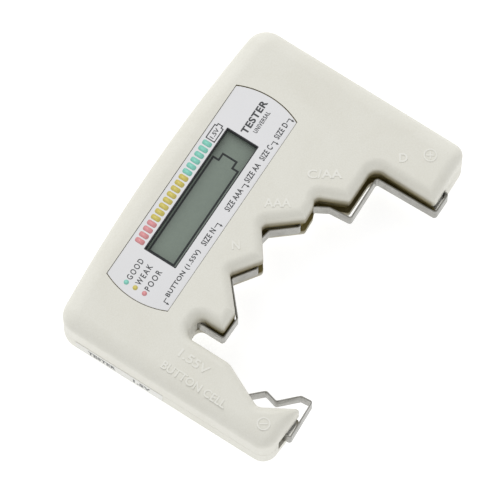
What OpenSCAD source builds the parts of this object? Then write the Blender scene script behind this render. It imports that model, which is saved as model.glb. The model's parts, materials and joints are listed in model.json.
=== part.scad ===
// Hand-held battery tester: an upside-down U body with a sprung contact and stepped contact strips.
// Lies on its back: +X along the face label, +Y to its top edge, +Z out of the face. Millimetres.

/* [Body] */
// Overall width of the body
body_w = 95.2; // [94.8:0.1:96]
// Height of the bowed top edge at the middle
top_y = 34.05; // [33.5:0.05:35]
// Height of the top edge at the two corners
top_corner_y = 31.65; // [31:0.05:32.2]
// End face of the left arm, which carries the spring
left_tip_y = -32.1; // [-32.4:0.1:-31.6]
// End face of the right arm
right_tip_y = -31.2; // [-31.4:0.1:-30.8]
// Thickness from back to face
body_t = 18; // [17.6:0.1:19]
// Height of the joint between the shells
parting_z = 9; // [9:0.1:9.4]
// Wall thickness
wall_t = 2; // [1.8:0.1:2.2]

/* [Edge rounding] */
// Height of the rounding at the face
front_round_h = 3; // [2:0.1:3.4]
// Height of the rounding at the back
rear_round_h = 3.6; // [2:0.1:4]
// Width of the face rounding along the outer sides
outer_round_w = 4.6; // [3:0.1:4.8]
// Width of the face rounding along the battery bays
bay_round_w = 2.6; // [1.6:0.1:2.8]
// Width of the face rounding at the arm tips
tip_round_w = 3; // [2:0.1:3.4]
// Depth of the dark channel behind the contact strips
channel_d = 1.2; // [0.8:0.1:1.3]

/* [Contact strips] */
// Width of every strip, across the joint between the shells
strip_w = 5.1; // [4.6:0.1:5.2]
// Thickness of every strip
strip_t = 0.4; // [0.3:0.05:0.45]
// Radius of the moulded pegs that the two long contacts turn on
peg_r = 1; // [0.9:0.05:1.1]
// Running clearance between a peg and its contact
peg_gap = 0.05; // [0.03:0.01:0.1]
// Largest swing of the negative spring, in degrees
spring_swing = 8.5; // [6:0.5:9]
// Largest swing of the long positive strip, in degrees
strip_swing = 1.5; // [0.5:0.1:1.6]

/* [Face] */
// Length of the label along its straight sides
label_w = 59.8; // [58:0.2:62]
// Height of the label
label_h = 18.4; // [17:0.1:18.8]
// How far the label's ends bulge
label_bulge = 2.1; // [1:0.1:2.4]
// Width of the display window
window_w = 38.8; // [36:0.2:40]
// Height of the display window
window_h = 9.6; // [9:0.1:10]
// Middle of the label, above the frame's centre line
label_y = 18.3; // [18.1:0.1:18.5]
// Middle of the display window, above the frame's centre line
window_y = 18.45; // [18.3:0.05:18.6]

/* [Hidden] */

IVORY = "#e4e1d5";
NICKEL = "#a8a5a0";
BOARD_GREEN = "#2f6b45";
STEEL = "#8d9094";
$fn = 48;

half_w = body_w / 2;
label_x = -0.4;
window_x = -0.5;

// strips stand across the joint between the shells
strip_z0 = parting_z - strip_w / 2;
strip_z1 = parting_z + strip_w / 2;
channel_z0 = strip_z0 - 0.4;
channel_z1 = strip_z1 + 0.4;
slot_z0 = strip_z0 - 0.3;
slot_z1 = strip_z1 + 0.3;

// ---- outline of the body: corner points, counter-clockwise, each [x, y, corner radius] ----
TOP_SEGS = 8;
top_sag = top_y - top_corner_y;
top_arc_r = (half_w * half_w + top_sag * top_sag) / (2 * top_sag);
top_half_angle = asin(half_w / top_arc_r);
TOP_ARC = [for (i = [1 : TOP_SEGS - 1])
    let (a = top_half_angle * (1 - 2 * i / TOP_SEGS))
    [top_arc_r * sin(a), top_y - top_arc_r * (1 - cos(a)), 0]];
CORNERS = concat([
    [-half_w, left_tip_y, 4.2],
    [-32.9, left_tip_y - 0.9, 0.8],
    [-38.6, -23.3, 2.5],
    [-32.8, -11.2, 4],
    [-32.8, 2.35, 2.6],
    [-26.5, 2.35, 2.2],
    [-26.5, -5.05, 0.8],
    [-20.8, -5.05, 0.8],
    [-12.7, 1.9, 0.9],
    [-5.2, -3.4, 1],
    [2.5, 2.2, 1.4],
    [9.7, -6.4, 0.9],
    [13.7, -6.2, 0.9],
    [16.2, -5.2, 1.2],
    [19.8, -13.3, 1],
    [31.2, -13.3, 2.8],
    [31.2, right_tip_y - 0.4, 0.9],
    [half_w, right_tip_y, 3.4],
    [half_w, top_corner_y, 5.8]],
    TOP_ARC,
    [[-half_w, top_corner_y, 5.4]]);
N_CORNERS = len(CORNERS);

// kind of each side, from its corner to the next: 0 outer, 1 arm tip, 2 bay with channel, 3 plain bay
KINDS = concat([1, 2, 2, 3, 3, 2, 2, 2, 2, 2, 2, 2, 2, 2, 2, 2, 1, 0],
    [for (i = [1 : TOP_SEGS]) 0], [0]);

function unit(v) = v / norm(v);
function flat(p) = [p[0], p[1]];
function corner(i) = flat(CORNERS[(i + N_CORNERS) % N_CORNERS]);
function side_dir(i) = unit(corner(i + 1) - corner(i));
function kind(i) = KINDS[(i + N_CORNERS) % N_CORNERS];
function turned(v) = [-v[1], v[0]];
function cross2(a, b) = a[0] * b[1] - a[1] * b[0];
function turn_angle(i) = atan2(cross2(side_dir(i - 1), side_dir(i)), side_dir(i - 1) * side_dir(i));

// corner i after side i - 1 moves in by d0 and side i by d1
function moved_corner(i, d0, d1) =
    let (u = side_dir(i - 1), v = side_dir(i),
        a = corner(i) + turned(u) * d0, b = corner(i) + turned(v) * d1,
        s = abs(cross2(u, v)) < 0.03 ? 0 : cross2(b - a, v) / cross2(u, v))
    a + u * s;

// the corner as an arc, always with the same number of points, so that rings can be joined
function corner_arc(i, d0, d1) =
    let (turn = turn_angle(i), steps = abs(turn) < 8 ? 0 : ceil(abs(turn) / 18),
        grown = CORNERS[i][2] - sign(turn) * (d0 + d1) / 2, r = max(0.35, grown),
        p = moved_corner(i, d0, d1), t = r * tan(abs(turn) / 2),
        start = p - side_dir(i - 1) * t,
        centre = start + turned(side_dir(i - 1)) * r * sign(turn))
    steps == 0 ? [p]
    : [for (k = [0 : steps])
        let (a = turn * k / steps, out = (start - centre))
        centre + [out[0] * cos(a) - out[1] * sin(a), out[0] * sin(a) + out[1] * cos(a)]];

// the outline with each kind of side moved in by its own amount
function ring(insets) =
    [for (i = [0 : N_CORNERS - 1])
        let (d0 = insets[kind(i - 1)], d1 = insets[kind(i)])
        each corner_arc(i, d0, d1)];

function at_height(points, z) = [for (p = points) [p[0], p[1], z]];

// solid through a stack of rings, each with the same number of points
module lofted(rings) {
    n = len(rings[0]);
    m = len(rings);
    polyhedron(points = [for (r = rings) each r],
        faces = concat([[for (i = [0 : n - 1]) i]],
            [for (j = [0 : m - 2]) for (i = [0 : n - 1])
                let (k = (i + 1) % n, up = (j + 1) * n)
                each [[j * n + i, up + i, up + k], [j * n + i, up + k, j * n + k]]],
            [[for (i = [n - 1 : -1 : 0]) (m - 1) * n + i]]));
}

// closed band through a loop of rings, each with the same number of points
module banded(rings) {
    n = len(rings[0]);
    m = len(rings);
    polyhedron(points = [for (r = rings) each r],
        faces = [for (j = [0 : m - 1]) for (i = [0 : n - 1])
            let (k = (i + 1) % n, up = (j + 1) % m * n)
            each [[j * n + i, up + i, up + k], [j * n + i, up + k, j * n + k]]]);
}

ROUND_STEPS = 4;
// rounding at the face or the back: t runs from 0 at the wall to 90 at the flat
function rounding_ring(widths, t) = ring([for (w = widths) w * (1 - cos(t))]);

FACE_WIDTHS = [outer_round_w, tip_round_w, bay_round_w, bay_round_w];
BACK_WIDTHS = [5, 3.4, 2.6, 2.6];
SEAM = 0.25;
LEDGE = 0.1;
SEAM_INSETS = [SEAM, SEAM, channel_d, 0];
CHANNEL_INSETS = [0, 0, channel_d, 0];
NO_INSETS = [0, 0, 0, 0];
// cavity walls: bays are thicker by the depth of the channel
CAVITY_INSETS = [wall_t, wall_t, wall_t + channel_d + 0.2, wall_t + 0.2];

// where the flat plate of a shell begins, well inside its wall
PLATE_INSETS = [5.2, 3.8, 3.6, 2.9];
face_inner_z = body_t - wall_t;
module plate(z0) translate([0, 0, z0]) linear_extrude(wall_t) polygon(ring(PLATE_INSETS));

module front_body() {
    banded(concat([
        at_height(ring(SEAM_INSETS), parting_z),
        at_height(ring(CHANNEL_INSETS), parting_z + SEAM),
        at_height(ring(CHANNEL_INSETS), channel_z1),
        at_height(ring(NO_INSETS), channel_z1 + LEDGE)],
        [for (k = [0 : ROUND_STEPS])
            let (t = 90 * k / ROUND_STEPS)
            at_height(rounding_ring(FACE_WIDTHS, t), body_t - front_round_h * (1 - sin(t)))],
        [at_height(ring(PLATE_INSETS), body_t),
        at_height(ring(PLATE_INSETS), face_inner_z),
        at_height(ring(CAVITY_INSETS), face_inner_z),
        at_height(ring(CAVITY_INSETS), parting_z)]));
    plate(face_inner_z);
}

module rear_body() {
    banded(concat(
        [for (k = [ROUND_STEPS : -1 : 0])
            let (t = 90 * k / ROUND_STEPS)
            at_height(rounding_ring(BACK_WIDTHS, t), rear_round_h * (1 - sin(t)))],
        [at_height(ring(NO_INSETS), channel_z0 - LEDGE),
        at_height(ring(CHANNEL_INSETS), channel_z0),
        at_height(ring(CHANNEL_INSETS), parting_z - SEAM),
        at_height(ring(SEAM_INSETS), parting_z),
        at_height(ring(CAVITY_INSETS), parting_z),
        at_height(ring(CAVITY_INSETS), wall_t),
        at_height(ring(PLATE_INSETS), wall_t),
        at_height(ring(PLATE_INSETS), 0)]));
    plate(0);
}

// ---- ribbons: a bent strip drawn by the line along its middle, corner points [x, y, bend radius] ----
function bend(p, i) =
    let (a = flat(p[i - 1]), b = flat(p[i]), c = flat(p[i + 1]),
        u = unit(b - a), v = unit(c - b), turn = atan2(cross2(u, v), u * v),
        r = p[i][2], t = r * tan(abs(turn) / 2), steps = max(1, ceil(abs(turn) / 20)),
        start = b - u * t, centre = start + turned(u) * r * sign(turn), out = start - centre)
    r == 0 || abs(turn) < 1 ? [b]
    : [for (k = [0 : steps])
        let (g = turn * k / steps)
        centre + [out[0] * cos(g) - out[1] * sin(g), out[0] * sin(g) + out[1] * cos(g)]];
function middle_line(p) = concat([flat(p[0])], [for (i = [1 : len(p) - 2]) each bend(p, i)],
    [flat(p[len(p) - 1])]);
function line_normal(l, i) =
    let (u = unit(l[min(i + 1, len(l) - 1)] - l[min(i, len(l) - 2)]),
        v = unit(l[max(i, 1)] - l[max(i - 1, 0)]), n = unit(turned(u) + turned(v)))
    n / (n * turned(u));
function ribbon_outline(l, t) = concat(
    [for (i = [0 : len(l) - 1]) l[i] + line_normal(l, i) * t / 2],
    [for (i = [len(l) - 1 : -1 : 0]) l[i] - line_normal(l, i) * t / 2]);
module ribbon(p, t, z0, z1)
    translate([0, 0, z0]) linear_extrude(z1 - z0) polygon(ribbon_outline(middle_line(p), t));
module strip(p) ribbon(p, strip_t, strip_z0, strip_z1);

// ---- pivoting contacts: an eye on a peg, and a ribbon that leaves the eye along its edge ----
eye_r = peg_r + peg_gap;
eye_rim = 0.5;
eye_line_r = eye_r + eye_rim / 2;
// point on the circle of radius r round c where the line to p just touches it, on the given side
function touch_point(c, p, r, side) =
    let (d = p - c, a = atan2(d[1], d[0]) + side * acos(r / norm(d)))
    c + r * [cos(a), sin(a)];

SPRING_PEG = [-41.5, -15.6];
SPRING_ENTRY = [-36, -19.1];
SPRING_START = touch_point(SPRING_PEG, SPRING_ENTRY, eye_line_r, 1);
SPRING_END = [-39.9, -30.9];
SPRING_PATH = [[SPRING_START[0], SPRING_START[1], 0], [SPRING_ENTRY[0], SPRING_ENTRY[1], 3],
    [-32.9, -22.3, 0.7], [-33.8, -25.8, 0.9], [-29.2, -30.4, 0.5], [-28.9, -33.5, 0.5],
    [-39.8, -34, 0.6], [SPRING_END[0], SPRING_END[1], 0]];
LONG_PEG = [37.7, -26.6];
LONG_TIP_Y = right_tip_y - 1.4;
LONG_START = [12.8, -2.2];
LONG_TAIL_X = LONG_PEG[0] - eye_line_r;
LONG_PATH = [[LONG_START[0], LONG_START[1], 0], [14.7, -5.5, 1.2], [16.85, -9.2, 1],
    [17.4, -15.3, 0.7], [30, -15, 0.8], [30.5, LONG_TIP_Y, 0.7], [LONG_TAIL_X, LONG_TIP_Y, 0.6],
    [LONG_TAIL_X, LONG_PEG[1], 0]];
AAA_PATH = [[-3.8, 4.9, 0], [-2.8, 1.3, 0.8], [1.1, 0.72, 1.5], [3.3, 0.35, 0.7],
    [8.65, -6.05, 0.6], [10.5, -1.5, 0]];
SMALL_PATH = [[-27, 6.2, 0], [-27, -5.5, 0.6], [-20.65, -5.6, 0.5], [-13, 1.2, 0.6],
    [-12.4, 1.2, 0.6], [-6.4, -3, 0.5], [-6.1, 1.8, 0]];
BUTTON_PATH = [[-32.97, -10.4, 0], [-32.97, -1.2, 0.6], [-37.2, -0.8, 0]];

module peg_ring(c, r_in, r_out, z0, z1) translate([c[0], c[1], z0]) difference() {
    cylinder(h = z1 - z0, r = r_out);
    translate([0, 0, -1]) cylinder(h = z1 - z0 + 2, r = r_in);
}
module pivoting_strip(p, c) {
    strip(p);
    peg_ring(c, eye_r, eye_r + eye_rim, strip_z0, strip_z1);
}
// room round a strip that swings, and round one that is held
STRIP_ROOM = 0.36;
HELD_ROOM = 0.1;
function swung(p, c, a) = let (d = p - c)
    c + [d[0] * cos(a) - d[1] * sin(a), d[0] * sin(a) + d[1] * cos(a)];
// slot for the straight stretch of a strip from a to b, which swings about c
module swing_slot(a, b, c, swing) {
    a2 = swung(a, c, swing);
    b2 = swung(b, c, swing);
    n = turned(unit(b - a));
    w = (strip_t / 2 + STRIP_ROOM) * sign((a2 - a + b2 - b) * n);
    translate([0, 0, slot_z0]) linear_extrude(slot_z1 - slot_z0)
        polygon([a - n * w, b - n * w, b2 + n * w, a2 + n * w]);
}
module held_slot(p) ribbon(p, strip_t + 2 * HELD_ROOM, slot_z0, slot_z1);
module strip_slots() {
    swing_slot(SPRING_START, SPRING_ENTRY + unit(SPRING_ENTRY - SPRING_START), SPRING_PEG, -spring_swing);
    swing_slot(SPRING_END + [0, 0.3], SPRING_END - [0, 4], SPRING_PEG, -spring_swing);
    swing_slot(LONG_START, [14.7, -5.5], LONG_PEG, -strip_swing);
    swing_slot([LONG_TAIL_X, LONG_PEG[1]], [LONG_TAIL_X, LONG_TIP_Y], LONG_PEG, -strip_swing);
    held_slot([AAA_PATH[0], AAA_PATH[1], [2, 0.6, 0]]);
    held_slot([[8.9, -5.43, 0], [9.65, -3.6, 0], AAA_PATH[5]]);
    held_slot([SMALL_PATH[0], [-27, 3, 0], [-27, 0.5, 0]]);
    held_slot([[-6.35, -2.8, 0], [-6.3, -1, 0], SMALL_PATH[6]]);
    ribbon(BUTTON_PATH, strip_t, strip_z0, strip_z1);
}

// ---- fastenings ----
CASE_POSTS = [[-39, 25], [39, 25], [-39.6, -5.2], [39.9, -17.4]];
BOARD_POSTS = [[-28.4, 11], [28.4, 11], [-28.4, 26.4], [28.4, 26.4]];
board_z1 = parting_z;
board_z0 = parting_z - 1.2;

module at_posts(posts) for (p = posts) translate([p[0], p[1], 0]) children();
module screw(head_r, head_h, shank_r, length) {
    difference() {
        cylinder(h = head_h, r = head_r);
        for (a = [0, 90])
            rotate(a) translate([-head_r * 0.6, -0.3, -0.1]) cube([head_r * 1.2, 0.6, head_h * 0.6]);
    }
    translate([0, 0, head_h]) cylinder(h = length, r = shank_r);
}

// ---- outer parts ----
module label_shape(grow, h) linear_extrude(h) translate([label_x, label_y]) {
    bulge_r = (label_h * label_h / 4 + label_bulge * label_bulge) / (2 * label_bulge);
    half_angle = asin(label_h / 2 / bulge_r);
    end_arc = [for (k = [0 : 8])
        let (a = half_angle * (k / 4 - 1))
        [label_w / 2 + grow + label_bulge - bulge_r * (1 - cos(a)), (bulge_r + grow) * sin(a)]];
    polygon(concat(end_arc, [for (p = end_arc) -p]));
}
module window(z0, z1) translate([window_x, window_y, (z0 + z1) / 2])
    cube([window_w, window_h, z1 - z0], center = true);

label_pocket = 0.5;
module front_shell() color(IVORY) {
    difference() {
        front_body();
        translate([0, 0, body_t - label_pocket]) label_shape(0.35, 1);
        window(face_inner_z - 1, body_t + 1);
        strip_slots();
    }
    at_posts(CASE_POSTS) difference() {
        translate([0, 0, parting_z]) cylinder(h = face_inner_z - parting_z + 0.5, r = 2.8);
        translate([0, 0, parting_z - 1]) cylinder(h = 6, r = 1.25);
    }
    at_posts(BOARD_POSTS) difference() {
        translate([0, 0, board_z1]) cylinder(h = face_inner_z - board_z1 + 0.5, r = 2.4);
        translate([0, 0, board_z1 - 1]) cylinder(h = 5, r = 0.9);
    }
    // posts that keep the eyes of the two pivoting contacts on their pegs
    for (c = [SPRING_PEG, LONG_PEG])
        translate([c[0], c[1], slot_z1]) cylinder(h = face_inner_z - slot_z1 + 0.5, r = 2);
}

tag_z = strip_z0 - 0.5;
module rear_shell() color(IVORY) {
    difference() {
        union() {
            rear_body();
            at_posts(CASE_POSTS) translate([0, 0, 1]) cylinder(h = parting_z - 1, r = 3.6);
        }
        strip_slots();
        at_posts(CASE_POSTS) {
            translate([0, 0, -1]) cylinder(h = parting_z + 2, r = 1.6);
            translate([0, 0, -1]) cylinder(h = 5.5, r = 2.6);
        }
    }
    for (c = [SPRING_PEG, LONG_PEG]) translate([c[0], c[1], 1]) {
        cylinder(h = strip_z1 - 1, r = peg_r);
        cylinder(h = tag_z - 1, r = 2);
    }
}

label_t = 0.35;
module face_label() color("#dedee2") difference() {
    translate([0, 0, body_t - label_pocket]) label_shape(0, label_t);
    window(body_t - 2, body_t + 1);
}

SIDE_LABEL = [26.3, 4.8];
side_label_t = 0.12;
module side_label() color("#f1f1ee")
    translate([-half_w - side_label_t, -0.5, 3.9]) cube([side_label_t, SIDE_LABEL[0], SIDE_LABEL[1]]);

// ---- display ----
GLASS = [46, 16];
glass_t = 0.7;
film_t = 0.25;
ledge = 1.8;
module sheet(size, z1, t)
    translate([window_x, window_y, z1 - t / 2]) cube([size[0], size[1], t], center = true);
front_glass_z = face_inner_z - film_t;
rear_glass_z = front_glass_z - glass_t;
reflector_z = rear_glass_z - glass_t;
module display_front_polariser() color("#8f9a8c") sheet(GLASS - [2, 2 * ledge], face_inner_z, film_t);
module display_front_glass() color("#a9b4ae") sheet(GLASS, front_glass_z, glass_t);
module display_rear_glass() color("#a9b4ae") sheet(GLASS - [0, 2 * ledge], rear_glass_z, glass_t);
module display_reflector() color("#85908a") sheet(GLASS - [2, 2 * ledge], reflector_z, film_t);
frame_clear = 0.15;
module display_frame() color("#efeee8") difference() {
    sheet(GLASS + [3, 3], face_inner_z, face_inner_z - board_z1);
    sheet(GLASS + [2, 2] * frame_clear, face_inner_z + 1, face_inner_z - board_z1 + 2);
}
module elastomer_strip(side) color("#3a3a3c")
    translate([window_x, window_y + side * (GLASS[1] / 2 - ledge / 2), (board_z1 + rear_glass_z) / 2])
        cube([GLASS[0] - 2, ledge - 0.3, rear_glass_z - board_z1], center = true);
module upper_elastomer_strip() elastomer_strip(1);
module lower_elastomer_strip() elastomer_strip(-1);

// ---- board and what is soldered to it ----
BOARD = [63, 22];
module circuit_board() color(BOARD_GREEN) difference() {
    translate([-BOARD[0] / 2, 7.9, board_z0]) cube([BOARD[0], BOARD[1], board_z1 - board_z0]);
    at_posts(BOARD_POSTS) translate([0, 0, board_z0 - 1]) cylinder(h = 4, r = 1.3);
}
module controller_blob() color("#1d1d1f") intersection() {
    translate([4, 21, board_z0 + 4.4]) sphere(r = 6.2);
    translate([-6, 11, board_z0 - 3]) cube([20, 20, 3]);
}
// a body lying along X under the board, with a lead bent up to the board at each end
module axial_part(r, length, z, lead_r, span) {
    translate([-length / 2, 0, z]) rotate([0, 90, 0]) cylinder(h = length, r = r);
    for (s = [-1, 1]) {
        translate([s * (length + span) / 4, 0, z]) rotate([0, 90, 0])
            cylinder(h = (span - length) / 2 + 2 * lead_r, r = lead_r, center = true);
        translate([s * span / 2, 0, z]) cylinder(h = board_z0 - z, r = lead_r);
    }
}
module load_resistors() color("#7fa6a8")
    for (p = [[-14, 12], [2, 12], [17, 12]]) translate([p[0], p[1], 0]) axial_part(1.5, 6.5, 5.6, 0.3, 11);
module rectifier_diode() color("#c46a3a") translate([18, 16.4, 0]) axial_part(0.9, 4, 6.4, 0.25, 8);
module boost_inductor() color("#2c2f33") translate([-18, 22, 0]) difference() {
    translate([0, 0, board_z0 - 4]) cylinder(h = 4, r = 3.4);
    translate([0, 0, board_z0 - 3.2]) peg_ring([0, 0], 2.5, 4, 0, 2.4);
}
module capacitors() color("#2b3a66")
    for (x = [15, 21]) translate([x, 23.6, board_z0 - 5]) cylinder(h = 5, r = 2.4);
module switching_transistor() color("#232326") translate([-7, 23, board_z0 - 4.6]) difference() {
    cylinder(h = 4.6, r = 2.2);
    translate([-3, 1, -1]) cube([6, 3, 7]);
}
module board_screws() color(STEEL)
    at_posts(BOARD_POSTS) translate([0, 0, board_z0 - 1.2]) screw(1.9, 1.2, 0.87, 4.6);
CASE_HEAD_Z = 3;
module case_screws() color(STEEL)
    at_posts(CASE_POSTS) translate([0, 0, CASE_HEAD_Z]) screw(2.4, 1.5, 1.22, 8.2);

// ---- contacts ----
module long_positive_strip() color(NICKEL) pivoting_strip(LONG_PATH, LONG_PEG);
module negative_spring() color(NICKEL) pivoting_strip(SPRING_PATH, SPRING_PEG);
module aaa_positive_strip() color(NICKEL) strip(AAA_PATH);
module small_positive_strip() color(NICKEL) strip(SMALL_PATH);
module button_negative_plate() color(NICKEL) strip(BUTTON_PATH);
module solder_tags() color(NICKEL)
    for (c = [SPRING_PEG, LONG_PEG]) peg_ring(c, peg_r + 0.02, 1.9, tag_z, tag_z + 0.25);

// ---- leads: a round tube swept along its route, corner points in three dimensions ----
LEAD_R = 0.5;
LEAD_SIDES = 8;
function sweep_dir(l, i) = unit(unit(l[min(i + 1, len(l) - 1)] - l[min(i, len(l) - 2)])
    + unit(l[max(i, 1)] - l[max(i - 1, 0)]));
function sweep_ring(c, d) =
    let (u = unit(cross(d, abs(d[2]) > 0.9 ? [1, 0, 0] : [0, 0, 1])), v = cross(d, u))
    [for (k = [0 : LEAD_SIDES - 1])
        let (a = 360 * k / LEAD_SIDES)
        c + LEAD_R * (u * cos(a) + v * sin(a))];
function softened(l) = concat([l[0]],
    [for (i = [1 : len(l) - 2]) each [l[i] + 0.25 * (l[i - 1] - l[i]), l[i] + 0.25 * (l[i + 1] - l[i])]],
    [l[len(l) - 1]]);
module lead(route) {
    line = softened(softened(route));
    lofted([for (i = [0 : len(line) - 1]) sweep_ring(line[i], sweep_dir(line, i))]);
}
lead_end_z = board_z0 - 0.6;
RED_ROUTES = [
    [[37.7, -24, 5.4], [35.5, -21, 4.2], [35.45, -14, 3.8], [35.5, -9, 3.6], [29, 2, 3.6],
    [25, 9, lead_end_z], [21, 9.6, lead_end_z]],
    [[10.5, -0.8, 5.9], [10.8, 3, 4.6], [11.4, 7, 4.6], [9.6, 10, lead_end_z]],
    [[-27, 5.8, 5.9], [-26.4, 8, 5], [-23.4, 10.2, lead_end_z]]];
BLACK_ROUTES = [
    [[-44.2, -15.6, 5.4], [-44.4, -10, 4], [-44.5, -3, 3.6], [-43, 6, 3.6], [-35, 12, 3.6],
    [-31, 17, 5], [-27, 17.4, lead_end_z]],
    [[-37.2, -0.8, 5.9], [-37.2, 5, 5], [-33.4, 12.6, 5.4], [-29, 14.8, lead_end_z]]];
module red_leads() color("#b3262a") for (r = RED_ROUTES) lead(r);
module black_leads() color("#222222") for (r = BLACK_ROUTES) lead(r);

front_shell();
rear_shell();
face_label();
side_label();
display_front_polariser();
display_front_glass();
display_rear_glass();
display_reflector();
display_frame();
upper_elastomer_strip();
lower_elastomer_strip();
circuit_board();
controller_blob();
load_resistors();
boost_inductor();
capacitors();
rectifier_diode();
switching_transistor();
board_screws();
case_screws();
long_positive_strip();
aaa_positive_strip();
small_positive_strip();
negative_spring();
button_negative_plate();
solder_tags();
red_leads();
black_leads();
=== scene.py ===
"""Hand-held battery tester: shells, contacts, face label and display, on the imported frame."""
import json
import math

import bmesh
import bpy
from mathutils import Matrix, Vector


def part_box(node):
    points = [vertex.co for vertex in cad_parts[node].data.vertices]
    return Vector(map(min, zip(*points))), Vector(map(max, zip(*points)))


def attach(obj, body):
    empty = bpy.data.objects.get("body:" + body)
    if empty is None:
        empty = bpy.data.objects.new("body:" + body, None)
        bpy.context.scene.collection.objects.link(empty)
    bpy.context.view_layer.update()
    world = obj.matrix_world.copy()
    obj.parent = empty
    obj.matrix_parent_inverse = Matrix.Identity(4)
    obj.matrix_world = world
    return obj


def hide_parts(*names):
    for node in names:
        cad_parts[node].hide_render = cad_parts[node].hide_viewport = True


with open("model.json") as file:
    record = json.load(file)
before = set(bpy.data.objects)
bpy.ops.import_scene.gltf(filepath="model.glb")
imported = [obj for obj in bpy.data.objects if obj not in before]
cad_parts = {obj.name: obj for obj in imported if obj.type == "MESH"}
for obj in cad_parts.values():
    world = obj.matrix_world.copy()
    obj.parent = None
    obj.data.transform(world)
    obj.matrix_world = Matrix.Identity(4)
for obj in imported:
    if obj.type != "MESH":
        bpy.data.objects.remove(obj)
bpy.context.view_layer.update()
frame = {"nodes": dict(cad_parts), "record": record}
MM = 0.001

# ---------------------------------------------------------------- sizes, in millimetres
BODY = "tester_body"
HALF_W = 47.6
TOP_Y = 34.05
TOP_CORNER_Y = 31.65
LEFT_TIP_Y = -32.1
RIGHT_TIP_Y = -31.2
BODY_T = 18.0
PARTING_Z = 9.0
WALL_T = 2.0
FACE_IN_Z = BODY_T - WALL_T
FRONT_ROUND_H = 3.2
REAR_ROUND_H = 3.8
FACE_WIDTHS = (4.9, 3.2, 2.7, 2.7)      # outer sides, arm tips, bays with a channel, plain bays
BACK_WIDTHS = (5.0, 3.4, 2.6, 2.6)
CHANNEL_D = 1.2
SEAM = 0.18
STRIP_W = 5.1
STRIP_T = 0.4
STRIP_Z0 = PARTING_Z - STRIP_W / 2
STRIP_Z1 = PARTING_Z + STRIP_W / 2
CHANNEL_Z0 = STRIP_Z0 - 0.4
CHANNEL_Z1 = STRIP_Z1 + 0.4
SLOT_GAP = 0.3
PEG_R = 1.0
EYE_R = 1.05
EYE_RIM = 0.5

SPRING_PEG = (-41.5, -15.6)
LONG_PEG = (37.7, -26.6)
CASE_POSTS = ((-39.0, 25.0), (39.0, 25.0), (-39.6, -5.2), (39.9, -17.4))
BOARD_POSTS = ((-28.4, 11.0), (28.4, 11.0), (-28.4, 26.4), (28.4, 26.4))

LABEL_AT = (-0.4, 18.3)
LABEL_W, LABEL_H, LABEL_BULGE = 59.8, 18.4, 2.1
LABEL_POCKET, LABEL_T = 0.5, 0.35
LABEL_TOP = BODY_T - LABEL_POCKET + LABEL_T
WINDOW_AT = (-0.5, 18.45)
WINDOW_W, WINDOW_H = 38.8, 9.6
PRINT_T = 0.02

# ---------------------------------------------------------------- outline of the body
TOP_SEGS = 12


def top_arc():
    """Points of the bowed top edge, from the right corner to the left one."""
    sag = TOP_Y - TOP_CORNER_Y
    radius = (HALF_W**2 + sag**2) / (2 * sag)
    half = math.asin(HALF_W / radius)
    turns = [half * (1 - 2 * i / TOP_SEGS) for i in range(1, TOP_SEGS)]
    return [(radius * math.sin(a), TOP_Y - radius * (1 - math.cos(a)), 0) for a in turns]


CORNERS = [
    (-HALF_W, LEFT_TIP_Y, 4.2), (-32.9, LEFT_TIP_Y - 0.9, 0.8), (-38.6, -23.3, 2.5),
    (-32.8, -11.2, 4), (-32.8, 2.35, 2.6), (-26.5, 2.35, 2.2), (-26.5, -5.05, 0.8),
    (-20.8, -5.05, 0.8), (-12.7, 1.9, 0.9), (-5.2, -3.4, 1), (2.5, 2.2, 1.4), (9.7, -6.4, 0.9),
    (13.7, -6.2, 0.9), (16.2, -5.2, 1.2), (19.8, -13.3, 1), (31.2, -13.3, 2.8),
    (31.2, RIGHT_TIP_Y - 0.4, 0.9), (HALF_W, RIGHT_TIP_Y, 3.4), (HALF_W, TOP_CORNER_Y, 5.8),
    *top_arc(), (-HALF_W, TOP_CORNER_Y, 5.4)]
OUTER, TIP, BAY, PLAIN_BAY = range(4)
KINDS = [TIP, BAY, BAY, PLAIN_BAY, PLAIN_BAY] + [BAY] * 11 + [TIP] + [OUTER] * (TOP_SEGS + 2)
ARC_STEP = math.radians(7.5)
SOFTEN = 0.3                    # how much a corner's least radius grows as the rounding moves in
LEAST_CORNER_R = 0.35
STRAIGHT = math.radians(8)      # corners that turn by less than this stay sharp


def unit(v):
    length = math.hypot(*v)
    return (v[0] / length, v[1] / length)


def minus(a, b):
    return (a[0] - b[0], a[1] - b[1])


def along(p, d, t):
    return (p[0] + d[0] * t, p[1] + d[1] * t)


def left_of(v):
    return (-v[1], v[0])


def cross(a, b):
    return a[0] * b[1] - a[1] * b[0]


def dot(a, b):
    return a[0] * b[0] + a[1] * b[1]


def turned(v, a):
    return (v[0] * math.cos(a) - v[1] * math.sin(a), v[0] * math.sin(a) + v[1] * math.cos(a))


def arc_at(p, u, turn, r, steps):
    """Arc of radius r that rounds a path arriving at p along u and turning there."""
    side = math.copysign(1, turn)
    start = along(p, u, -r * math.tan(abs(turn) / 2))
    centre = along(start, left_of(u), r * side)
    spoke = minus(start, centre)
    return [along(centre, turned(spoke, turn * k / steps), 1) for k in range(steps + 1)]


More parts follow.
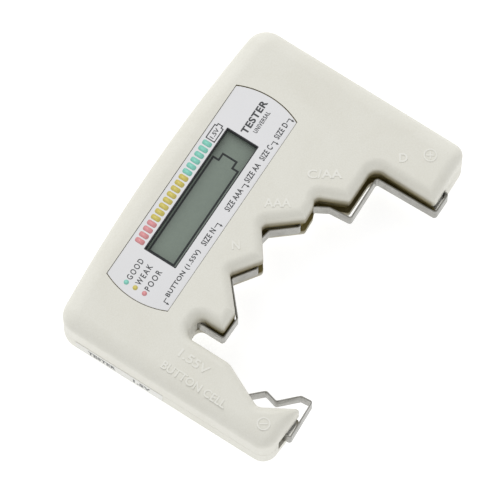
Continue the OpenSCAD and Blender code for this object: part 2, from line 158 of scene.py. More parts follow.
def ring(insets, soften=SOFTEN):
    """The body's outline with each kind of side moved in by its own amount."""
    n = len(CORNERS)
    points = []
    for i in range(n):
        here = CORNERS[i][:2]
        u = unit(minus(here, CORNERS[i - 1][:2]))
        v = unit(minus(CORNERS[(i + 1) % n][:2], here))
        d0, d1 = insets[KINDS[i - 1]], insets[KINDS[i]]
        turn = math.atan2(cross(u, v), dot(u, v))
        a = along(here, left_of(u), d0)
        b = along(here, left_of(v), d1)
        slide = 0 if abs(cross(u, v)) < 0.03 else cross(minus(b, a), v) / cross(u, v)
        p = along(a, u, slide)
        if abs(turn) < STRAIGHT:
            points.append(p)
            continue
        inset = (d0 + d1) / 2
        grown = CORNERS[i][2] - math.copysign(inset, turn)
        r = max(LEAST_CORNER_R + soften * inset, grown)
        points += arc_at(p, u, turn, r, math.ceil(abs(turn) / ARC_STEP))
    return points


def bay_shares():
    """For each point of a ring, how far it belongs to the edge of a bay, from 0 to 1."""
    shares = []
    for i in range(len(CORNERS)):
        u = unit(minus(CORNERS[i][:2], CORNERS[i - 1][:2]))
        v = unit(minus(CORNERS[(i + 1) % len(CORNERS)][:2], CORNERS[i][:2]))
        turn = abs(math.atan2(cross(u, v), dot(u, v)))
        before, after = float(KINDS[i - 1] == BAY), float(KINDS[i] == BAY)
        steps = math.ceil(turn / ARC_STEP) if turn >= STRAIGHT else 0
        shares += [before + (after - before) * k / max(steps, 1) for k in range(steps + 1)]
    return shares


def path_line(path, step=ARC_STEP):
    """Middle line of a bent strip, from corner points (x, y, bend radius)."""
    line = [path[0][:2]]
    for i in range(1, len(path) - 1):
        u = unit(minus(path[i][:2], path[i - 1][:2]))
        v = unit(minus(path[i + 1][:2], path[i][:2]))
        turn = math.atan2(cross(u, v), dot(u, v))
        if path[i][2] and abs(turn) > 0.02:
            line += arc_at(path[i][:2], u, turn, path[i][2], max(2, math.ceil(abs(turn) / step)))
        else:
            line.append(path[i][:2])
    return line + [path[-1][:2]]


def normals_of(line):
    """Sideways steps at each point of a line, lengthened at bends so that the width stays true."""
    out = []
    for i in range(len(line)):
        u = unit(minus(line[min(i + 1, len(line) - 1)], line[min(i, len(line) - 2)]))
        v = unit(minus(line[max(i, 1)], line[max(i - 1, 0)]))
        n = unit((left_of(u)[0] + left_of(v)[0], left_of(u)[1] + left_of(v)[1]))
        out.append((n[0] / dot(n, left_of(u)), n[1] / dot(n, left_of(u))))
    return out


# ---------------------------------------------------------------- contact strips
def touch_point(centre, p, r, side):
    """Where the line from p just touches the circle of radius r round the centre."""
    d = minus(p, centre)
    a = math.atan2(d[1], d[0]) + side * math.acos(r / math.hypot(*d))
    return (centre[0] + r * math.cos(a), centre[1] + r * math.sin(a))


EYE_LINE_R = EYE_R + EYE_RIM / 2
SPRING_ENTRY = (-36.0, -19.1)
SPRING_END = (-39.9, -30.9)
LONG_TIP_Y = RIGHT_TIP_Y - 1.4
LONG_TAIL_X = LONG_PEG[0] - EYE_LINE_R
SPRING_START = touch_point(SPRING_PEG, SPRING_ENTRY, EYE_LINE_R, 1)
SPRING_PATH = [
    (*SPRING_START, 0), (*SPRING_ENTRY, 3), (-32.9, -22.3, 0.7), (-33.8, -25.8, 0.9),
    (-29.2, -30.4, 0.5), (-28.9, -33.5, 0.5), (-39.8, -34, 0.6), (*SPRING_END, 0)]
LONG_PATH = [
    (12.8, -2.2, 0), (14.7, -5.5, 1.2), (16.85, -9.2, 1), (17.4, -15.3, 0.7), (30, -15, 0.8),
    (30.5, LONG_TIP_Y, 0.7), (LONG_TAIL_X, LONG_TIP_Y, 0.6), (LONG_TAIL_X, LONG_PEG[1], 0)]
AAA_PATH = [
    (-3.8, 4.9, 0), (-2.8, 1.3, 0.8), (1.1, 0.72, 1.5), (3.3, 0.35, 0.7), (8.65, -6.05, 0.6),
    (10.5, -1.5, 0)]
SMALL_PATH = [
    (-27, 6.2, 0), (-27, -5.5, 0.6), (-20.65, -5.6, 0.5), (-13, 1.2, 0.6), (-12.4, 1.2, 0.6),
    (-6.4, -3, 0.5), (-6.1, 1.8, 0)]
BUTTON_PATH = [(-32.97, -10.4, 0), (-32.97, -1.2, 0.6), (-37.2, -0.8, 0)]


# ---------------------------------------------------------------- mesh helpers
BAY_SHADE_LAYER = "bay_painted_shade"                 # the layer of a shell's mesh that holds its painted shade beside the contacts
EDGE_SEGMENTS = 2


def mesh_object(name, verts, faces, smooth=True):
    mesh = bpy.data.meshes.new(name)
    mesh.from_pydata([(x * MM, y * MM, z * MM) for x, y, z in verts], [], faces)
    mesh.update()
    obj = bpy.data.objects.new(name, mesh)
    bpy.context.scene.collection.objects.link(obj)
    tidy_normals(obj, smooth)
    return obj


def tidy_normals(obj, smooth=True):
    work = bmesh.new()
    work.from_mesh(obj.data)
    bmesh.ops.recalc_face_normals(work, faces=work.faces)
    for face in work.faces:
        face.smooth = smooth
    work.to_mesh(obj.data)
    work.free()


def looped_faces(loops):
    """Faces of a band through closed loops of points, the last joined to the first again."""
    n, m = len(loops[0]), len(loops)
    return [(j * n + i, j * n + (i + 1) % n, (j + 1) % m * n + (i + 1) % n, (j + 1) % m * n + i)
            for j in range(m) for i in range(n)]


def lofted(name, rings):
    """Closed solid through rings of the same number of points, each [(x, y, z), ...]."""
    n, m = len(rings[0]), len(rings)
    faces = [tuple(range(n))[::-1], tuple((m - 1) * n + i for i in range(n))]
    for j in range(m - 1):
        faces += [(j * n + i, j * n + (i + 1) % n, (j + 1) * n + (i + 1) % n, (j + 1) * n + i)
                  for i in range(n)]
    return mesh_object(name, [p for r in rings for p in r], faces)


def paint_bay_shade(obj, levels):
    """Stores painted shade beside the contacts: a level for each ring, on the bays' sides only."""
    shares = bay_shares()
    layer = obj.data.attributes.new(BAY_SHADE_LAYER, "FLOAT", "CORNER")
    for loop in obj.data.loops:
        j, i = divmod(loop.vertex_index, len(shares))
        layer.data[loop.index].value = levels[j] * shares[i]
    return obj


def at_height(points, z):
    return [(x, y, z) for x, y in points]


def prism(name, points, z0, z1):
    return lofted(name, [at_height(points, z0), at_height(points, z1)])


def circle(centre, r, n=48):
    return [(centre[0] + r * math.cos(2 * math.pi * k / n),
             centre[1] + r * math.sin(2 * math.pi * k / n)) for k in range(n)]


def turned_solid(name, centre, profile, n=48):
    """Solid of revolution about a line along Z; profile is [(radius, z), ...] from end to end."""
    return lofted(name, [at_height(circle(centre, r, n), z) for r, z in profile])


def joined(name, pieces):
    """One object from several, keeping each piece's materials."""
    work = bmesh.new()
    slots = []
    for piece in pieces:
        first = len(work.faces)
        work.from_mesh(piece.data)
        work.faces.ensure_lookup_table()
        own = list(piece.data.materials) or [None]
        base = len(slots)
        slots += own
        for face in work.faces[first:]:
            face.material_index += base
        bpy.data.objects.remove(piece)
    mesh = bpy.data.meshes.new(name)
    work.to_mesh(mesh)
    work.free()
    for material in slots:
        mesh.materials.append(material)
    obj = bpy.data.objects.new(name, mesh)
    bpy.context.scene.collection.objects.link(obj)
    return obj


def settled(obj):
    """Turns an object's modifiers into its mesh."""
    bpy.context.view_layer.update()
    view = bpy.context.evaluated_depsgraph_get()
    mesh = bpy.data.meshes.new_from_object(obj.evaluated_get(view))
    obj.modifiers.clear()
    obj.data = mesh
    return obj


def combined(body, tool, how):
    cut = body.modifiers.new("cut", "BOOLEAN")
    cut.object = tool
    cut.operation = how
    cut.solver = "EXACT"
    settled(body)
    bpy.data.objects.remove(tool)
    return body


def carved(body, *tools):
    for tool in tools:
        combined(body, tool, "DIFFERENCE")
    return body


def grown_with(body, *tools):
    for tool in tools:
        combined(body, tool, "UNION")
    return body


def softened(obj, width, angle=38):
    """Small rounding on every hard edge, and smooth shading between them."""
    bevel = obj.modifiers.new("edge", "BEVEL")
    bevel.width = width * MM
    bevel.segments = EDGE_SEGMENTS
    bevel.limit_method = "ANGLE"
    bevel.angle_limit = math.radians(angle)
    bevel.use_clamp_overlap = True
    settled(obj)
    return shaded(obj)


def shaded(obj, angle=34):
    """Smooth shading, split where faces meet at more than the angle."""
    work = bmesh.new()
    work.from_mesh(obj.data)
    limit = math.radians(angle)
    for face in work.faces:
        face.smooth = True
    for edge in work.edges:
        edge.smooth = len(edge.link_faces) == 2 and edge.calc_face_angle(0) < limit
    work.to_mesh(obj.data)
    work.free()
    weigh = obj.modifiers.new("weigh", "WEIGHTED_NORMAL")
    weigh.keep_sharp = True
    return obj


# ---------------------------------------------------------------- shells
def rounding(widths, height, base, sign, steps=9):
    """Rings of a rounded edge, from the wall to the flat face."""
    rings = []
    for k in range(steps + 1):
        t = math.pi / 2 * k / steps
        insets = [w * (1 - math.cos(t)) for w in widths]
        rings.append(at_height(ring(insets), base + sign * height * math.sin(t)))
    return rings


# Painted shade beside the contacts: share of the rounding it covers, how fast it fades, and its
# strength.
LIP_SHARE, LIP_FALL, LIP_MOST = 0.36, 1.6, 0.6


def lip_shade_levels(steps=9):
    """Painted shade on a rounded edge: most beside the contacts, gone about a third of the way up.
    """
    return [max(0.0, 1 - k / (steps * LIP_SHARE)) ** LIP_FALL * LIP_MOST for k in range(steps + 1)]


FLAT = (0, 0, 0, 0)
SEAM_INSETS = (SEAM, SEAM, CHANNEL_D, 0)
CHANNEL_INSETS = (0, 0, CHANNEL_D, 0)
CAVITY_INSETS = (WALL_T, WALL_T, WALL_T + CHANNEL_D + 0.2, WALL_T + 0.2)
LEDGE = 0.1
LABEL_ROOM = 0.24               # gap round the label in its recess
OVERCUT = 1                     # how far a cutting tool reaches past what it cuts
ROOTED = 0.5                    # how far a boss reaches into the wall that carries it
FRONT_BOSSES = (                # posts, radius of the boss, radius and depth of its pilot hole
    (CASE_POSTS, 2.8, 1.25, 5), (BOARD_POSTS, 2.4, 0.9, 4))
REAR_BOSS_R, BORE_R, COUNTERBORE_R, COUNTERBORE_TOP = 3.6, 1.6, 2.6, 4.5
PEG_BASE_R, PEG_BASE_GAP, PEG_TAPER = 2, 0.5, 0.2
BACK_ROOT_Z = 1                 # where bosses and pegs start, inside the back wall
KEEPER_GAP = 0.35
SHELL_EDGE = 0.12
STRIP_SLOTS = (                 # from, to, width: room where strips pass through the walls
    ((-39.5, -17.4), (-34.6, -20.5), 2.0),          # the spring, coming off its peg
    ((-41.05, -30.0), (-41.05, -34.5), 3.3),        # the spring's tucked end, with room to swing
    ((13.4, -2.0), (15.1, -5.3), 1.7),              # the long strip's free end
    ((36.3, -28.0), (36.3, -33.0), 1.3),            # the long strip, going to its peg
    ((-3.6, 3.5), (-2.9, 1.0), 0.7),                # the AAA strip, at both ends
    ((-3.2, 1.35), (1.6, 0.65), 0.7),
    ((8.9, -6.2), (10.6, -1.0), 0.8),
    ((-27, 6.0), (-27, 0.5), 0.6),                  # the small-cell strip, at both ends
    ((-6.35, -3.0), (-6.1, 1.6), 0.7))


def label_outline(grow, steps=20):
    """The label's outline: straight long sides and bulging ends."""
    r = (LABEL_H**2 / 4 + LABEL_BULGE**2) / (2 * LABEL_BULGE)
    half = math.asin(LABEL_H / 2 / r)
    end = []
    for k in range(steps + 1):
        a = half * (2 * k / steps - 1)
        x = LABEL_W / 2 + grow + LABEL_BULGE - r * (1 - math.cos(a))
        end.append((x, (r + grow) * math.sin(a)))
    both = end + [(-x, -y) for x, y in end]
    return [along(p, LABEL_AT, 1) for p in both]


def rounded_rectangle(centre, w, h, r, steps=5):
    points = []
    for k, (sx, sy) in enumerate(((1, -1), (1, 1), (-1, 1), (-1, -1))):
        cx, cy = centre[0] + sx * (w / 2 - r), centre[1] + sy * (h / 2 - r)
        for j in range(steps + 1):
            a = math.pi / 2 * (k - 1 + j / steps)
            points.append((cx + r * math.cos(a), cy + r * math.sin(a)))
    return points


def slot_box(a, b, width, z0=STRIP_Z0 - SLOT_GAP, z1=STRIP_Z1 + SLOT_GAP):
    """Straight slot from a to b."""
    u = unit(minus(b, a))
    n = left_of(u)
    near, far = -width / 2, width / 2
    points = [along(a, n, near), along(b, n, near), along(b, n, far), along(a, n, far)]
    return prism("slot", points, z0, z1)


def strip_slots():
    return [slot_box(*span) for span in STRIP_SLOTS]


def front_shell_moulding():
    rings = [at_height(ring(SEAM_INSETS), PARTING_Z),
             at_height(ring(CHANNEL_INSETS), PARTING_Z + SEAM),
             at_height(ring(CHANNEL_INSETS), CHANNEL_Z1),
             at_height(ring(FLAT), CHANNEL_Z1 + LEDGE)]
    wall_levels = [1.0] * len(rings)
    rings += rounding(FACE_WIDTHS, FRONT_ROUND_H, BODY_T - FRONT_ROUND_H, 1)
    shell = lofted("front_shell_moulding", rings)
    paint_bay_shade(shell, wall_levels + lip_shade_levels())
    carved(shell, prism("cavity", ring(CAVITY_INSETS, 0), PARTING_Z - OVERCUT, FACE_IN_Z))
    recess = label_outline(LABEL_ROOM)
    carved(shell, prism("pocket", recess, BODY_T - LABEL_POCKET, BODY_T + OVERCUT))
    window = rounded_rectangle(WINDOW_AT, WINDOW_W, WINDOW_H, 0.15, 2)
    carved(shell, prism("window", window, FACE_IN_Z - OVERCUT, BODY_T + OVERCUT))
    carved(shell, *strip_slots())
    for posts, boss_r, pilot_r, pilot_d in FRONT_BOSSES:
        for post in posts:
            boss = turned_solid("boss", post, [(boss_r, PARTING_Z), (boss_r, FACE_IN_Z + ROOTED)])
            pilot = turned_solid("pilot", post, [(pilot_r, PARTING_Z - OVERCUT),
                                                 (pilot_r, PARTING_Z + pilot_d)])
            grown_with(shell, carved(boss, pilot))
    for peg in (SPRING_PEG, LONG_PEG):
        keeper = [(PEG_BASE_R, STRIP_Z1 + KEEPER_GAP), (PEG_BASE_R, FACE_IN_Z + ROOTED)]
        grown_with(shell, turned_solid("keeper", peg, keeper))
    return softened(shell, SHELL_EDGE)


def rear_shell_moulding():
    walls = [at_height(ring(FLAT), CHANNEL_Z0 - LEDGE),
             at_height(ring(CHANNEL_INSETS), CHANNEL_Z0),
             at_height(ring(CHANNEL_INSETS), PARTING_Z - SEAM),
             at_height(ring(SEAM_INSETS), PARTING_Z)]
    rings = rounding(BACK_WIDTHS, REAR_ROUND_H, REAR_ROUND_H, -1)[::-1] + walls
    shell = lofted("rear_shell_moulding", rings)
    paint_bay_shade(shell, lip_shade_levels()[::-1] + [1.0] * len(walls))
    carved(shell, prism("cavity", ring(CAVITY_INSETS, 0), WALL_T, PARTING_Z + OVERCUT))
    for post in CASE_POSTS:
        boss = [(REAR_BOSS_R, BACK_ROOT_Z), (REAR_BOSS_R, PARTING_Z)]
        grown_with(shell, turned_solid("boss", post, boss))
        carved(shell,
               turned_solid("bore", post, [(BORE_R, -OVERCUT), (BORE_R, PARTING_Z + OVERCUT)]),
               turned_solid("counterbore", post, [(COUNTERBORE_R, -OVERCUT),
                                                  (COUNTERBORE_R, COUNTERBORE_TOP)]))
    carved(shell, *strip_slots())
    for peg in (SPRING_PEG, LONG_PEG):
        shoulder = [(PEG_BASE_R, BACK_ROOT_Z), (PEG_BASE_R, STRIP_Z0 - PEG_BASE_GAP),
                    (PEG_R, STRIP_Z0 - PEG_BASE_GAP), (PEG_R, STRIP_Z1 - PEG_TAPER),
                    (PEG_R - PEG_TAPER, STRIP_Z1)]
        grown_with(shell, turned_solid("shoulder", peg, shoulder))
    return softened(shell, SHELL_EDGE)


# ---------------------------------------------------------------- strips
EDGE_R = 0.09
EYE_BREAK = 0.1                 # small slope on the rims of an eye


def ribbon_section():
    """Cross-section of a strip: (sideways, height) points with rounded long edges."""
    t, z0, z1, r = STRIP_T / 2, STRIP_Z0, STRIP_Z1, EDGE_R
    corner = [(1, 0), (math.cos(math.pi / 4), math.sin(math.pi / 4)), (0, 1)]
    out = [(t - r + r * c, z1 - r + r * s) for c, s in corner]
    out += [(-(t - r + r * c), z1 - r + r * s) for c, s in corner[::-1]]
    out += [(-(t - r + r * c), z0 + r - r * s) for c, s in corner]
    return out + [(t - r + r * c, z0 + r - r * s) for c, s in corner[::-1]]


def ribbon(name, path):
    line = path_line(path)
    section = ribbon_section()
    rings = [[(p[0] + n[0] * side, p[1] + n[1] * side, z) for side, z in section]
             for p, n in zip(line, normals_of(line))]
    return lofted(name, rings)


def eye(name, centre):
    """The curled end that turns on a peg: a ring with rounded rims."""
    r0, r1 = EYE_R, EYE_R + EYE_RIM
    z0, z1, b = STRIP_Z0, STRIP_Z1, EYE_BREAK
    profile = [(r0, z0 + b), (r0 + b, z0), (r1 - b, z0), (r1, z0 + b),
               (r1, z1 - b), (r1 - b, z1), (r0 + b, z1), (r0, z1 - b)]
    loops = [at_height(circle(centre, r), z) for r, z in profile]
    return mesh_object(name, [p for loop in loops for p in loop], looped_faces(loops))


def contact(name, path, peg=None):
    strip = ribbon(name, path)
    if peg:
        strip = joined(name, [strip, eye("eye", peg)])
    return shaded(strip, 40)


SCREW_Z0, SCREW_Z1 = 3.0, 12.7
HEAD_R, HEAD_H, SHANK_R = 2.4, 1.5, 1.22
POINT_H, POINT_R = 0.8, 0.2
CROSS_L, CROSS_W = HEAD_R * 1.15, 0.55
DOME_STEPS = 8


def pan_screw(name, centre):
    """Screw with a domed head facing down and a cross recess."""
    angles = [math.pi / 2 * k / DOME_STEPS for k in range(DOME_STEPS + 1)]
    profile = [(HEAD_R * math.cos(t), SCREW_Z0 + HEAD_H * 0.55 * (1 - math.sin(t)))
               for t in angles][::-1]
    profile[0] = (0.05, SCREW_Z0)
    profile += [(HEAD_R, SCREW_Z0 + HEAD_H), (SHANK_R, SCREW_Z0 + HEAD_H),
                (SHANK_R, SCREW_Z1 - POINT_H), (POINT_R, SCREW_Z1)]
    body = turned_solid("head", centre, profile)
    for w, h in ((CROSS_L, CROSS_W), (CROSS_W, CROSS_L)):
        cross_arm = rounded_rectangle(centre, w, h, 0.1, 2)
        carved(body, prism("recess", cross_arm, SCREW_Z0 - OVERCUT, SCREW_Z0 + HEAD_H * 0.7))
    body.name = name
    return softened(body, 0.04, 45)


# ---------------------------------------------------------------- lettering and other print
FLAT_RIGHT, FLAT_UP = Vector((1, 0, 0)), Vector((0, 1, 0))


def lettering(name, words, at, width, height, depth, turn=0, right=FLAT_RIGHT, up=FLAT_UP,
              weight=0.0, spacing=1.0, rounding=0.0):
    """Solid letters fitted to a width and a height, centred at (x, y, z) of their underside."""
    curve = bpy.data.curves.new(name, "FONT")
    curve.body = words
    curve.space_character = spacing
    curve.offset = weight
    curve.extrude = 0.5
    curve.bevel_depth = rounding
    curve.resolution_u = 5
    text = bpy.data.objects.new(name, curve)
    bpy.context.scene.collection.objects.link(text)
    bpy.context.view_layer.update()
    view = bpy.context.evaluated_depsgraph_get()
    mesh = bpy.data.meshes.new_from_object(text.evaluated_get(view))
    bpy.data.objects.remove(text)
    spans = []
    for axis in range(3):
        values = [v.co[axis] for v in mesh.vertices]
        spans.append((min(values), max(values) - min(values)))
    out = right.cross(up)
    swing = math.radians(turn)
    for v in mesh.vertices:
        x = ((v.co.x - spans[0][0]) / spans[0][1] - 0.5) * width
        y = ((v.co.y - spans[1][0]) / spans[1][1] - 0.5) * height
        z = (v.co.z - spans[2][0]) / spans[2][1] * depth
        x, y = turned((x, y), swing)
        v.co = (Vector(at) + right * x + up * y + out * z) * MM
    obj = bpy.data.objects.new(name, mesh)
    bpy.context.scene.collection.objects.link(obj)
    tidy_normals(obj, smooth=False)
    return obj


def spot(name, centre, r, z, depth=PRINT_T):
    return prism(name, circle(centre, r, 32), z, z + depth)


def patch(name, centre, w, h, r, z, depth=PRINT_T):
    return prism(name, rounded_rectangle(centre, w, h, r, 4), z, z + depth)


def hollow(name, outer, inner, z, depth=PRINT_T):
    """Band between two outlines with the same number of points."""
    loops = [at_height(outer, z), at_height(outer, z + depth),
             at_height(inner, z + depth), at_height(inner, z)]
    return mesh_object(name, [p for loop in loops for p in loop], looped_faces(loops), smooth=False)


def battery_outline(x0, x1, nub_x, y0, y1, nub_y0, nub_y1, grow):
    """Outline of a cell lying on its side, moved out by grow."""
    g = grow
    return [(x0 - g, y0 - g), (x1 + g, y0 - g), (x1 + g, nub_y0 - g), (nub_x + g, nub_y0 - g),
            (nub_x + g, nub_y1 + g), (x1 + g, nub_y1 + g), (x1 + g, y1 + g), (x0 - g, y1 + g)]


def battery_sign(name, spans, line, z):
    return hollow(name, battery_outline(*spans, line / 2), battery_outline(*spans, -line / 2), z)


ARROW_LINE, ARROW_HEAD, ARROW_HALF = 0.2, 0.7, 0.33


def hook_arrow(name, x0, x1, top, bottom, z, side=1):
    """Arrow that runs from x0 to x1 and turns down to a bay, at its right (1) or left (-1) end."""
    line = ARROW_LINE
    x = x1 - line / 2 if side > 0 else x0 + line / 2
    foot = bottom + ARROW_HEAD
    stem = [patch("across", ((x0 + x1) / 2, top - line / 2), x1 - x0, line, line / 4, z),
            patch("down", (x, (top + foot) / 2), line, top - foot, line / 4, z)]
    tip = [(x - ARROW_HALF, foot), (x, bottom), (x + ARROW_HALF, foot)]
    return joined(name, stem + [prism("tip", tip, z, z + PRINT_T)])


# ---------------------------------------------------------------- shared surface effects
def group(name, inputs, outputs):
    tree = bpy.data.node_groups.new(name, "ShaderNodeTree")
    for label, kind, value in inputs:
        socket = tree.interface.new_socket(label, in_out="INPUT", socket_type=kind)
        socket.default_value = value
    for label in outputs:
        tree.interface.new_socket(label, in_out="OUTPUT", socket_type="NodeSocketFloat")
    return tree, tree.nodes.new("NodeGroupInput"), tree.nodes.new("NodeGroupOutput")


def added(tree, kind, values=(), **settings):
    """A new node with values on its sockets and settings of its own."""
    node = tree.nodes.new(kind)
    for label, value in dict(values).items():
        node.inputs[label].default_value = value
    for label, value in settings.items():
        setattr(node, label, value)
    return node


def grain_effect():
    """Fine surface grain, stretched by an amount along each axis: a height and a soft mask."""
    tree, given, out = group("surface_grain", [("Scale", "NodeSocketFloat", 3000.0),
                                               ("Stretch", "NodeSocketVector", (1, 1, 1))],
                             ["Height", "Mask"])
    place = added(tree, "ShaderNodeTexCoord")
    stretch = added(tree, "ShaderNodeVectorMath", operation="MULTIPLY")
    noise = added(tree, "ShaderNodeTexNoise", {"Detail": 4.0, "Roughness": 0.6})
    contrast = added(tree, "ShaderNodeMapRange", {"From Min": 0.32, "From Max": 0.68})
    link = tree.links.new
    link(place.outputs["Object"], stretch.inputs[0])
    link(given.outputs["Stretch"], stretch.inputs[1])
    link(stretch.outputs[0], noise.inputs["Vector"])
    link(given.outputs["Scale"], noise.inputs["Scale"])
    link(noise.outputs["Fac"], contrast.inputs["Value"])
    link(noise.outputs["Fac"], out.inputs["Height"])
    link(contrast.outputs["Result"], out.inputs["Mask"])
    return tree


def handling_effect():
    """Broad uneven marks left by handling and age: a slow mask."""
    tree, given, out = group("handling_marks", [("Scale", "NodeSocketFloat", 60.0)], ["Mask"])
    place = added(tree, "ShaderNodeTexCoord")
    slow = added(tree, "ShaderNodeTexNoise", {"Detail": 5.0, "Roughness": 0.65, "Distortion": 0.4})
    ramp = added(tree, "ShaderNodeMapRange", {"From Min": 0.35, "From Max": 0.7},
                 interpolation_type="SMOOTHSTEP")
    link = tree.links.new
    link(place.outputs["Object"], slow.inputs["Vector"])
    link(given.outputs["Scale"], slow.inputs["Scale"])
    link(slow.outputs["Fac"], ramp.inputs["Value"])
    link(ramp.outputs["Result"], out.inputs["Mask"])
    return tree


def crevice_shade_effect():
    """Painted shade where surfaces meet, from ambient occlusion: a mask that is 1 deep in a corner.
    """
    tree, given, out = group("crevice_painted_shade", [("Reach", "NodeSocketFloat", 0.0025)], ["Mask"])
    closed = added(tree, "ShaderNodeAmbientOcclusion", samples=12, only_local=True)
    ramp = added(tree, "ShaderNodeMapRange", {"From Min": 0.92, "From Max": 0.55})
    link = tree.links.new
    link(given.outputs["Reach"], closed.inputs["Distance"])
    link(closed.outputs["AO"], ramp.inputs["Value"])
    link(ramp.outputs["Result"], out.inputs["Mask"])
    return tree


GRAIN = grain_effect()
HANDLING = handling_effect()
CREVICE_SHADE = crevice_shade_effect()


COAT_ROUGHNESS = 0.08
FACTOR, FIRST, SECOND = 0, 2, 3                 # sockets of a Mix node for plain numbers
FIRST_COLOUR, SECOND_COLOUR, MIXED = 6, 7, 2    # and for colours


def linear(rgb):
    """An sRGB colour of 0 to 255 as linear values."""
    out = [(c / 255 / 12.92) if c <= 10 else ((c / 255 + 0.055) / 1.055) ** 2.4 for c in rgb]
    return (*out, 1.0)


def finish(name, light, dark, rough, grain=3000.0, bump=0.0, stretch=(1, 1, 1), broad=60.0,
           wear=0.5, metallic=0.0, coat=0.0, ior=1.5, crevice=None):
    """Procedural finish: two colours and a range of roughness, mottled by grain and handling."""
    material = bpy.data.materials.new(name)
    material.use_nodes = True
    tree = material.node_tree
    shader = tree.nodes["Principled BSDF"]
    link = tree.links.new
    fine = added(tree, "ShaderNodeGroup", node_tree=GRAIN)
    fine.inputs["Scale"].default_value = grain
    fine.inputs["Stretch"].default_value = stretch
    slow = added(tree, "ShaderNodeGroup", node_tree=HANDLING)
    slow.inputs["Scale"].default_value = broad
    both = added(tree, "ShaderNodeMix", {FACTOR: wear})
    link(fine.outputs["Mask"], both.inputs[FIRST])
    link(slow.outputs["Mask"], both.inputs[SECOND])
    colour = added(tree, "ShaderNodeMix", data_type="RGBA")
    link(both.outputs[0], colour.inputs[FACTOR])
    colour.inputs[FIRST_COLOUR].default_value = linear(light)
    colour.inputs[SECOND_COLOUR].default_value = linear(dark)
    surface = colour.outputs[MIXED]
    # Painted shade: occlusion in corners and the stored bay shade darken the colour towards a brown
    # shade colour.
    if crevice:
        corner = added(tree, "ShaderNodeGroup", node_tree=CREVICE_SHADE)
        bay_shade_node = added(tree, "ShaderNodeAttribute", attribute_name=BAY_SHADE_LAYER)
        most = added(tree, "ShaderNodeMath", operation="MAXIMUM")
        link(corner.outputs["Mask"], most.inputs[0])
        link(bay_shade_node.outputs["Fac"], most.inputs[1])
        shade_mix = added(tree, "ShaderNodeMix", data_type="RGBA")
        link(most.outputs[0], shade_mix.inputs[FACTOR])
        link(surface, shade_mix.inputs[FIRST_COLOUR])
        shade_mix.inputs[SECOND_COLOUR].default_value = linear(crevice)
        surface = shade_mix.outputs[MIXED]
    link(surface, shader.inputs["Base Color"])
    gloss = added(tree, "ShaderNodeMapRange", {"To Min": rough[0], "To Max": rough[1]})
    link(both.outputs[0], gloss.inputs["Value"])
    link(gloss.outputs["Result"], shader.inputs["Roughness"])
    if bump:
        raised = added(tree, "ShaderNodeBump", {"Strength": 1.0, "Distance": bump * MM})
        link(fine.outputs["Height"], raised.inputs["Height"])
        link(raised.outputs["Normal"], shader.inputs["Normal"])
    shader.inputs["Metallic"].default_value = metallic
    shader.inputs["Coat Weight"].default_value = coat
    shader.inputs["Coat Roughness"].default_value = COAT_ROUGHNESS
    shader.inputs["IOR"].default_value = ior
    return material


FINISHES = {
    # The ivory ABS darkens to a brown painted shade in its crevices and beside the contacts.
    "ivory_abs": finish("ivory_spark_textured_abs", (231, 230, 221), (223, 221, 210), (0.44, 0.6),
                        grain=2600, bump=0.035, broad=45, wear=0.45, crevice=(106, 93, 36)),
    "label_film": finish("pale_grey_label_film", (231, 231, 233), (226, 226, 227), (0.34, 0.46),
                         grain=5200, bump=0.006, broad=70, coat=0.15),
    "paper_label": finish("white_paper_label", (236, 236, 232), (224, 223, 217), (0.55, 0.7),
                          grain=4200, bump=0.01, broad=90),
    "polariser_film": finish("grey_green_polariser", (128, 140, 129), (120, 132, 122), (0.16, 0.26),
                             grain=800, bump=0.0, broad=40, coat=0.4),
    "display_glass": finish("clear_display_glass", (172, 184, 178), (162, 174, 168), (0.05, 0.12),
                            grain=900, broad=50, coat=0.5),
    "reflector_film": finish("silvery_reflector_film", (150, 158, 152), (138, 146, 140), (0.3, 0.4),
                             grain=3000, bump=0.004, metallic=0.4),
    "white_plastic": finish("white_moulded_plastic", (236, 235, 228), (226, 224, 215), (0.4, 0.55),
                            grain=2600, bump=0.02),
    "dark_rubber": finish("dark_silicone_rubber", (62, 62, 64), (46, 46, 48), (0.6, 0.8),
                          grain=3600, bump=0.015),
    "board_green": finish("green_solder_resist", (44, 96, 58), (32, 78, 46), (0.3, 0.42),
                          grain=1500, bump=0.01, stretch=(1, 1, 0.3), coat=0.2),
    "black_epoxy": finish("black_glob_epoxy", (34, 34, 36), (22, 22, 24), (0.22, 0.36),
                          grain=1200, bump=0.01),
    "resistor_body": finish("blue_lacquered_resistor", (112, 158, 186), (92, 138, 168),
                            (0.32, 0.45), grain=2400, bump=0.008),
    "ferrite": finish("dark_sintered_ferrite", (66, 64, 62), (48, 46, 45), (0.5, 0.7),
                      grain=3200, bump=0.02),
    "capacitor_sleeve": finish("navy_capacitor_sleeve", (42, 52, 92), (32, 40, 76), (0.25, 0.38),
                               grain=2600, bump=0.004),
    "diode_glass": finish("amber_diode_glass", (176, 98, 52), (150, 76, 38), (0.1, 0.2),
                          grain=1500, coat=0.4),
    "nickel_plate": finish("satin_nickel_plate", (172, 171, 166), (134, 132, 124), (0.24, 0.4),
                           grain=900, bump=0.006, stretch=(0.6, 0.6, 9), broad=160, metallic=0.9),
    "zinc_steel": finish("zinc_plated_steel", (186, 188, 190), (156, 158, 160), (0.25, 0.42),
                         grain=2400, bump=0.006, metallic=0.95),
    "red_pvc": finish("red_lead_pvc", (190, 40, 36), (166, 30, 28), (0.35, 0.5),
                      grain=2600, bump=0.006),
    "black_pvc": finish("black_lead_pvc", (40, 40, 42), (28, 28, 30), (0.35, 0.5),
                        grain=2600, bump=0.006)}
INK = finish("charcoal_label_ink", (70, 72, 74), (58, 60, 62), (0.4, 0.5), grain=4800, bump=0.002)
DISPLAY_INK = finish("dark_display_segment", (34, 40, 42), (27, 32, 34), (0.25, 0.35), grain=3000)


